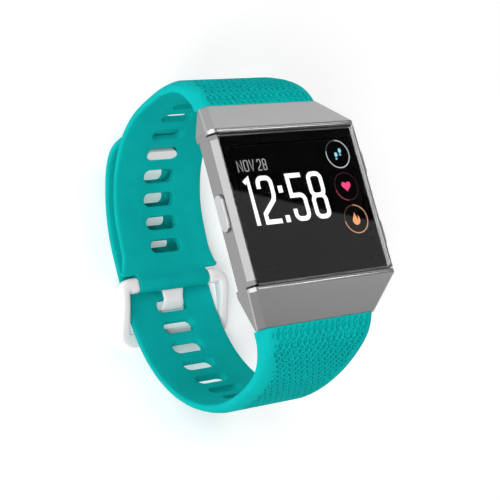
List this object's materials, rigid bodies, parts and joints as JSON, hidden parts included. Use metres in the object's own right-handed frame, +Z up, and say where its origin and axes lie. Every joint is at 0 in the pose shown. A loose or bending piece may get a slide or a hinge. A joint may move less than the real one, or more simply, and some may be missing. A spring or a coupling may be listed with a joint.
{
  "type": "fitness tracker band",
  "caption": "Square-faced fitness tracker on a slotted soft strap, closed in a loop by a buckle with a tongue and a stud in the tail.",
  "frame": {"origin": "on the surface that the closed loop stands on, under the middle of the object", "axes": "+Z up, out of the display; +Y to the top edge of the display (12 o'clock); +X to its right edge (3 o'clock)"},
  "size_m": [0.0384, 0.0694, 0.0578],
  "materials": {
    "case_metal": "fine bead-blasted satin",
    "cover_metal": "fine bead-blasted satin",
    "antenna_plastic": "satin",
    "cover_glass": "polished, black border behind",
    "gasket_foam": "matte",
    "display": "lit screen",
    "plate_steel": "brushed",
    "board_green": "solder mask",
    "chip_black": "moulded",
    "steel": "turned",
    "battery_foil": "pouch foil",
    "back_plastic": "fine texture",
    "sensor_glass": "polished",
    "led_lens": "clear lens",
    "contact_gold": "plated",
    "button_metal": "satin",
    "seal_rubber": "matte",
    "strap_silicone": "soft satin moulded silicone",
    "connector_plastic": "moulded",
    "peg_white": "satin",
    "buckle_white": "satin white coat"
  },
  "bodies": {
    "case": {"case_frame": "case_metal", "antenna_strip_upper": "antenna_plastic", "antenna_strip_lower": "antenna_plastic", "upper_end_cover": "cover_metal", "lower_end_cover": "cover_metal", "cover_glass": "cover_glass", "display_gasket": "gasket_foam", "display_panel": "display", "display_plate": "plate_steel", "main_board": "board_green", "board_screws": "steel", "board_chips": "chip_black", "battery": "battery_foil", "vibration_motor": "steel", "back_cover": "back_plastic", "charging_contacts": "contact_gold", "sensor_window": "sensor_glass", "sensor_board": "board_green", "sensor_leds": "led_lens", "sensor_photodiode": "chip_black", "button_seals": "seal_rubber", "button_switches": "steel", "strap_upper": "strap_silicone", "strap_lower": "strap_silicone", "tail_peg": "peg_white", "strap_connector_upper": "connector_plastic", "strap_connector_lower": "connector_plastic", "release_spring_upper": "steel", "release_spring_lower": "steel", "pin_barrel": "steel", "pin_spring": "steel"},
    "button_left": {"button_left": "button_metal"},
    "button_right_upper": {"button_right_upper": "button_metal"},
    "button_right_lower": {"button_right_lower": "button_metal"},
    "release_upper": {"release_button_upper": "steel"},
    "release_lower": {"release_button_lower": "steel"},
    "buckle": {"buckle_frame": "buckle_white"},
    "tongue": {"buckle_tongue": "buckle_white"},
    "pin_left": {"pin_tip_left": "steel"},
    "pin_right": {"pin_tip_right": "steel"}
  },
  "joints": [
    {"name": "button_left_press", "type": "slide", "parent": "case", "child": "button_left", "axis": [1, 0, 0], "range_m": [0, 0.00035], "stiffness_N_per_m": 900},
    {"name": "button_right_upper_press", "type": "slide", "parent": "case", "child": "button_right_upper", "axis": [-1, 0, 0], "range_m": [0, 0.00035], "stiffness_N_per_m": 900},
    {"name": "button_right_lower_press", "type": "slide", "parent": "case", "child": "button_right_lower", "axis": [-1, 0, 0], "range_m": [0, 0.00035], "stiffness_N_per_m": 900},
    {"name": "release_upper_press", "type": "slide", "parent": "case", "child": "release_upper", "axis": [0, 0, 1], "range_m": [0, 0.0004], "stiffness_N_per_m": 1200, "deforming": ["release_spring_upper"]},
    {"name": "release_lower_press", "type": "slide", "parent": "case", "child": "release_lower", "axis": [0, 0, 1], "range_m": [0, 0.0004], "stiffness_N_per_m": 1200, "deforming": ["release_spring_lower"]},
    {"name": "buckle_swing", "type": "hinge", "parent": "case", "child": "buckle", "pos_m": [0, -0.001, 0.0044], "axis": [1, 0, 0], "range_deg": [0, 6]},
    {"name": "tongue_swing", "type": "hinge", "parent": "case", "child": "tongue", "pos_m": [0, -0.001, 0.0044], "axis": [1, 0, 0], "range_deg": [0, 6]},
    {"name": "pin_left_retract", "type": "slide", "parent": "case", "child": "pin_left", "axis": [1, 0, 0], "range_m": [0, 0.0008], "stiffness_N_per_m": 1200, "deforming": ["pin_spring"]},
    {"name": "pin_right_retract", "type": "slide", "parent": "case", "child": "pin_right", "axis": [-1, 0, 0], "range_m": [0, 0.0008], "stiffness_N_per_m": 1200, "deforming": ["pin_spring"]}
  ],
  "couplings": [
    {"joint": "tongue_swing", "follows": "buckle_swing", "ratio": 1}
  ]
}
